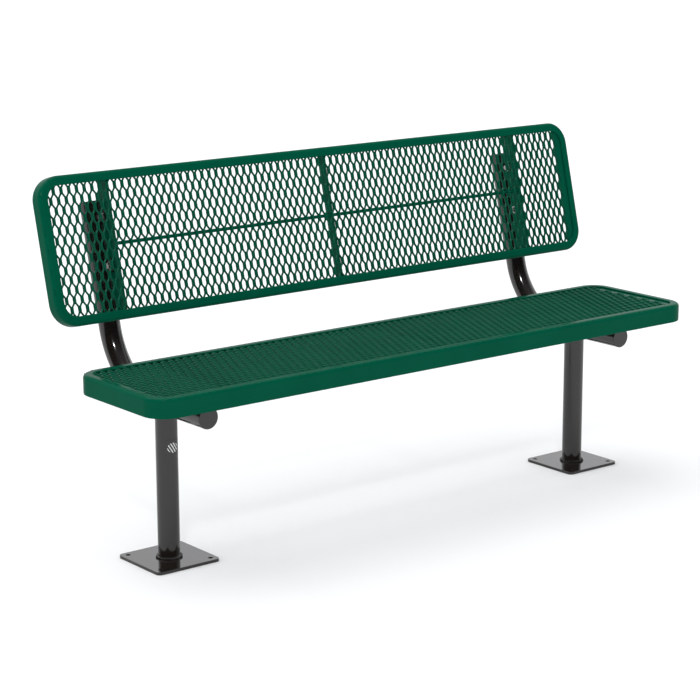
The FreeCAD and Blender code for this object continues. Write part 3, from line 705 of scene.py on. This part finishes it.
def build_bar(panel, name):
    """Flat bar on edge behind the mesh, its edges softened by the coating."""
    s = sizes()
    width, depth = panel_size(panel)
    x = {"left": -s.bar_x, "centre": 0, "right": s.bar_x}[name]
    far = depth if name == "centre" else s.bar_end
    near = -s.mesh_drop - s.strand_thickness / 2
    half = s.bar_thickness / 2
    bar = box(f"{panel}_bar_{name}_coated", (x - half, s.wall, -far),
              (x + half, width - s.wall, near))
    if name != "centre":
        cut = s.seat_bar_cut if panel == "seat" else s.back_bar_cut
        round_edges(bar, cut, 1, lambda a, b: (
            max(a.z, b.z) < -far + LEVEL_SLACK and abs(a.y - b.y) < LEVEL_SLACK))
    round_edges(bar, s.edge_round, EDGE_STEPS, lambda a, b: (a - b).length > s.bar_thickness * 1.5)
    finish_surface(bar)
    into_panel(bar, panel)
    return bar


# ---------------------------------------------------------------- supports

def build_support(name, x):
    """Bent tube: an arm under the seat that turns up behind the back."""
    s = sizes()
    bpy.ops.object.select_all(action="DESELECT")
    bpy.ops.mesh.primitive_circle_add(
        vertices=TUBE_SIDES, radius=s.tube_radius, location=(x, s.arm_start, s.arm_z),
        rotation=(math.pi / 2, 0, 0))
    pipe = take_new(f"support_tube_{name}_painted")
    choose(pipe, "EDGE", lambda a, b: True)
    bpy.ops.mesh.extrude_region_move(
        TRANSFORM_OT_translate={"value": (0, s.bend_start - s.arm_start, 0)})
    bpy.ops.mesh.spin(steps=BEND_STEPS, angle=math.pi / 2 - s.recline, axis=(-1, 0, 0),
                      center=(x, s.bend_start, s.arm_z + s.bend_radius))
    rise = Vector((0, math.sin(s.recline), math.cos(s.recline))) * s.upright
    bpy.ops.mesh.extrude_region_move(TRANSFORM_OT_translate={"value": rise})
    bpy.ops.mesh.select_all(action="SELECT")
    bpy.ops.mesh.remove_doubles(threshold=MERGE)
    leave_edit()
    bpy.ops.object.shade_smooth()
    return pipe


def upright_top(x):
    """Centre of the upright's upper end."""
    s = sizes()
    bend = math.pi / 2 - s.recline
    y = s.bend_start + s.bend_radius * math.sin(bend) + s.upright * math.sin(s.recline)
    z = s.arm_z + s.bend_radius * (1 - math.cos(bend)) + s.upright * math.cos(s.recline)
    return Vector((x, y, z))


def build_cap(label, start, direction):
    """Disc that closes a tube's end, with a soft outer edge."""
    s = sizes()
    end = start + direction * s.cap
    disc = tube(label + "_painted", s.tube_radius, start - direction * s.overlap, end)
    round_edges(disc, s.edge_round, EDGE_STEPS, lambda a, b: all(
        (point - end).dot(direction) > -MERGE for point in (a, b)))
    finish_surface(disc)
    return disc


def build_plate(name, x):
    """Square foot with four anchor holes, its edges rounded by the paint."""
    s = sizes()
    half = s.plate_side / 2
    plate = box(f"base_plate_{name}_painted", (x - half, s.post_y - half, 0),
                (x + half, s.post_y + half, s.plate_thickness))
    round_edges(plate, s.plate_corner, PLATE_CORNER_STEPS,
                lambda a, b: abs(a.z - b.z) > s.plate_thickness / 2)
    for across in (-1, 1):
        for along in (-1, 1):
            centre = Vector((x, s.post_y, 0)) + Vector((along, across, 0)) * s.anchor_spacing / 2
            reach = Vector((0, 0, s.plate_thickness * 2))
            drill = tube("drill", s.anchor_hole / 2, centre - reach, centre + reach, DRILL_SIDES)
            add_and_apply(plate, "BOOLEAN", object=drill, operation="DIFFERENCE", solver="EXACT")
            bpy.data.objects.remove(drill)
    add_and_apply(plate, "BEVEL", width=s.plate_edge, segments=EDGE_STEPS, limit_method="ANGLE",
                  angle_limit=math.radians(60), use_clamp_overlap=True)
    finish_surface(plate)
    return plate


def build_weld(label, points):
    """Rippled weld bead along a closed line of points."""
    s = sizes()
    bpy.ops.object.select_all(action="DESELECT")
    bpy.ops.mesh.primitive_uv_sphere_add(segments=12, ring_count=8, radius=s.bead)
    model = take_new(label)
    bpy.ops.object.shade_smooth()
    ripples = []
    for i, point in enumerate(points):
        ahead = points[(i + 1) % len(points)] - points[i - 1]
        ripple = model.copy()
        ripple.data = model.data.copy()
        bpy.context.collection.objects.link(ripple)
        ripple.rotation_euler = ahead.to_track_quat("Y", "Z").to_euler()
        swell = 1 + sum(share * math.sin(i * rhythm) for share, rhythm in SWELLS)
        ripple.scale = (swell, RIPPLE_SQUASH, swell)
        ripple.location = point
        ripples.append(ripple)
    bpy.data.objects.remove(model)
    weld = join(label, ripples)
    settle(weld)
    return weld


def post_ring(x):
    """Points round the foot of a post."""
    s = sizes()
    reach = s.tube_radius + s.bead * BEAD_OUT
    count = round(2 * math.pi * reach / s.bead_step)
    angles = [2 * math.pi * i / count for i in range(count)]
    z = s.plate_thickness + s.bead * BEAD_UP
    return [Vector((x + reach * math.cos(a), s.post_y + reach * math.sin(a), z)) for a in angles]


def saddle_ring(x):
    """Points round a post's upper end, where it meets the underside of the arm."""
    s = sizes()
    reach = s.tube_radius + s.overlap
    count = round(SADDLE_LENGTH * math.pi * s.tube_radius / s.bead_step)
    points = []
    for i in range(count):
        a = 2 * math.pi * i / count
        z = s.arm_z - s.tube_radius * abs(math.sin(a)) - s.overlap
        points.append(Vector((x + reach * math.cos(a), s.post_y + reach * math.sin(a), z)))
    return points


# ---------------------------------------------------------------- operators

class BENCH_OT_rims(bpy.types.Operator):
    """Build the formed rims of the seat and the back"""

    bl_idname = "bench.rims"
    bl_label = "Rims"

    def execute(self, context):
        for panel in PANELS:
            hand_over(build_rim(panel), green_coating(), "coated_rim", panel + "_rim")
        return {"FINISHED"}


class BENCH_OT_meshes(bpy.types.Operator):
    """Build the expanded mesh of the seat and the back"""

    bl_idname = "bench.meshes"
    bl_label = "Meshes"

    def execute(self, context):
        s = sizes()
        step, row = s.pitch_short / 2, s.pitch_long / 2
        bonds = {"seat": (step, s.seat_depth / 2 + row / 2),
                 "back": (s.back_bond_x + step, s.back_bond_y)}
        for panel in PANELS:
            net = build_mesh(panel, *bonds[panel])
            hand_over(net, mesh_coating(), "coated_mesh", panel + "_mesh")
        return {"FINISHED"}


class BENCH_OT_bars(bpy.types.Operator):
    """Build the flat bars behind the mesh and coat the rods"""

    bl_idname = "bench.bars"
    bl_label = "Bars and rods"

    def execute(self, context):
        for panel in PANELS:
            for name in ("left", "centre", "right"):
                bar = build_bar(panel, name)
                hand_over(bar, green_coating(), "coated_rim", f"{panel}_bar_{name}")
            for name in SIDES:
                paint_node(f"{panel}_rod_{name}", green_coating())
        return {"FINISHED"}


class BENCH_OT_supports(bpy.types.Operator):
    """Build the bent tubes, posts and end caps"""

    bl_idname = "bench.supports"
    bl_label = "Supports"

    def execute(self, context):
        s = sizes()
        up = Vector((0, math.sin(s.recline), math.cos(s.recline)))
        for name, side in SIDES.items():
            x = side * s.support_x
            hand_over(build_support(name, x), dark_paint(), "dark_frame", "support_tube_" + name)
            post = tube(f"post_{name}_painted", s.tube_radius,
                        (x, s.post_y, s.plate_thickness - s.overlap),
                        (x, s.post_y, s.arm_z - s.post_reach))
            finish_surface(post)
            hand_over(post, dark_paint(), "dark_frame", "post_" + name)
            arm_end = Vector((x, s.arm_start, s.arm_z))
            for cap, end, outward in (("arm_cap_" + name, arm_end, Vector((0, -1, 0))),
                                      ("top_cap_" + name, upright_top(x), up)):
                hand_over(build_cap(cap, end, outward), dark_paint(), "dark_frame", cap)
        return {"FINISHED"}


class BENCH_OT_plates(bpy.types.Operator):
    """Build the base plates"""

    bl_idname = "bench.plates"
    bl_label = "Base plates"

    def execute(self, context):
        for name, side in SIDES.items():
            plate = build_plate(name, side * sizes().support_x)
            hand_over(plate, dark_paint(), "dark_frame", "base_plate_" + name)
        return {"FINISHED"}


class BENCH_OT_welds(bpy.types.Operator):
    """Build the weld beads at both ends of each post"""

    bl_idname = "bench.welds"
    bl_label = "Welds"

    def execute(self, context):
        for name, side in SIDES.items():
            x = side * sizes().support_x
            foot = build_weld(f"post_weld_{name}_painted", post_ring(x))
            hand_over(foot, dark_paint(), "dark_frame", "post_weld_" + name)
            saddle = build_weld(f"arm_weld_{name}_painted", saddle_ring(x))
            hand_over(saddle, dark_paint(), "dark_frame")
        return {"FINISHED"}


class BENCH_OT_hardware(bpy.types.Operator):
    """Finish the lugs, bolts, nuts, washers and label that keep their CAD shape"""

    bl_idname = "bench.hardware"
    bl_label = "Hardware"

    def execute(self, context):
        for panel, rows in (("seat", ("front", "rear")), ("back", ("lower", "upper"))):
            for name in SIDES:
                for which in rows:
                    paint_node(f"{panel}_lug_{which}_{name}", dark_paint())
                for kind in ("bolts", "nuts", "washers"):
                    paint_node(f"{panel}_{kind}_{name}", plating())
        paint_node("post_label", label_film())
        return {"FINISHED"}


class BENCH_OT_stage(bpy.types.Operator):
    """Build the floor, the lights and the camera"""

    bl_idname = "bench.stage"
    bl_label = "Stage"

    def execute(self, context):
        build_floor()
        build_lights()
        build_camera()
        return {"FINISHED"}


# ---------------------------------------------------------------- stage

FLOOR_SIDE = 120

# Pale sides of the room: the way to the backdrop, where it fades in, and how strong it is overhead.
BACKDROP_WAY = (0.63, 0.78, 0.0)
BACKDROP_FADE = (-0.1, 0.6)
OVERHEAD_FADE = (0.5, 0.9)
OVERHEAD_SHARE = 0.2

# Suns: name, strength, width and turn in degrees.
SUNS = (("key", 1.5, 60, (-18, -8, 0)),
        ("glint", 0.5, 4, (38, -40, 0)))

# Camera: place in metres, turn in degrees, lens in millimetres.
CAMERA_PLACE = (-3.6322, -4.5070, 1.7834)
CAMERA_TURN = (90 - 13.387, 0, -38.923)
LENS = 111.13
LENS_SHIFT = (-0.03705, 0.01731)
VIEW_RANGE = 200


def build_floor():
    """Plain pale floor, far larger than the bench."""
    bpy.ops.object.select_all(action="DESELECT")
    bpy.ops.mesh.primitive_plane_add(size=FLOOR_SIDE, location=(0, 0, 0))
    floor = take_new("floor")
    material = bpy.data.materials.new("floor")
    material.use_nodes = True
    tree = material.node_tree
    surface = tree.nodes["Principled BSDF"]
    rays = tree.nodes.new("ShaderNodeLightPath")
    mirrored = tuple(looks().floor_mirrored * value for value in looks().floor)
    tree.links.new(mix_colours(tree, rays.outputs["Is Glossy Ray"], tuple(looks().floor), mirrored),
                   surface.inputs["Base Color"])
    surface.inputs["Roughness"].default_value = 0.9
    surface.inputs["Specular IOR Level"].default_value = 0.1
    floor.data.materials.append(material)


def build_lights():
    """Even pale surroundings, a broad sun from the front left and a narrow one for the glints."""
    world = bpy.data.worlds.new("studio")
    bpy.context.scene.world = world
    world.use_nodes = True
    tree = world.node_tree
    ground = tree.nodes["Background"]
    ground.inputs["Strength"].default_value = 1.0
    direction = tree.nodes.new("ShaderNodeTexCoord").outputs["Generated"]
    facing = vector_node(tree, "DOT_PRODUCT", direction, BACKDROP_WAY)["Value"]
    backdrop = stretch(tree, facing, 0.0, 1.0, *BACKDROP_FADE)
    height = split_vector(tree, direction)["Z"]
    overhead = stretch(tree, height, 0.0, OVERHEAD_SHARE, *OVERHEAD_FADE)
    seen = mix_colours(tree, math_node(tree, "MAXIMUM", backdrop, overhead),
                       tuple(looks().room_dark), tuple(looks().room_pale))
    rays = tree.nodes.new("ShaderNodeLightPath")
    tree.links.new(mix_colours(tree, rays.outputs["Is Glossy Ray"], tuple(looks().room), seen),
                   ground.inputs["Color"])
    for label, strength, width, turn in SUNS:
        bpy.ops.object.light_add(type="SUN", rotation=[math.radians(part) for part in turn])
        lamp = bpy.context.object
        lamp.name = label
        lamp.data.energy = strength
        lamp.data.angle = math.radians(width)


def build_camera():
    """Camera at the front left, a little above the bench."""
    bpy.ops.object.camera_add(location=CAMERA_PLACE,
                              rotation=[math.radians(part) for part in CAMERA_TURN])
    camera = bpy.context.object
    camera.data.sensor_width = 36
    camera.data.lens = LENS
    camera.data.shift_x, camera.data.shift_y = LENS_SHIFT
    camera.data.clip_end = VIEW_RANGE
    bpy.context.scene.camera = camera
    bpy.context.scene.view_settings.view_transform = "Standard"


# ---------------------------------------------------------------- add-on

class BENCH_PT_panel(bpy.types.Panel):
    """Sizes, finishes and building steps of the bench"""

    bl_idname = "BENCH_PT_panel"
    bl_label = "Park bench"
    bl_space_type = "VIEW_3D"
    bl_region_type = "UI"
    bl_category = "Bench"

    def draw(self, context):
        for operator in OPERATORS:
            self.layout.operator(operator.bl_idname)
        for group in (context.scene.bench_sizes, context.scene.bench_looks):
            column = self.layout.column()
            for name in group.__annotations__:
                column.prop(group, name)


OPERATORS = (BENCH_OT_rims, BENCH_OT_meshes, BENCH_OT_bars, BENCH_OT_supports, BENCH_OT_plates,
             BENCH_OT_welds, BENCH_OT_hardware, BENCH_OT_stage)
CLASSES = (BenchSizes, BenchLooks, *OPERATORS, BENCH_PT_panel)


def register():
    """Registers the classes and the scene's properties."""
    for item in CLASSES:
        bpy.utils.register_class(item)
    bpy.types.Scene.bench_sizes = bpy.props.PointerProperty(type=BenchSizes)
    bpy.types.Scene.bench_looks = bpy.props.PointerProperty(type=BenchLooks)


def unregister():
    """Takes the classes and properties away again."""
    del bpy.types.Scene.bench_looks
    del bpy.types.Scene.bench_sizes
    for item in reversed(CLASSES):
        bpy.utils.unregister_class(item)


def main():
    """Builds every piece and the stage."""
    register()
    bpy.ops.bench.rims()
    bpy.ops.bench.meshes()
    bpy.ops.bench.bars()
    bpy.ops.bench.supports()
    bpy.ops.bench.plates()
    bpy.ops.bench.welds()
    bpy.ops.bench.hardware()
    bpy.ops.bench.stage()


if __name__ == "__main__":
    main()
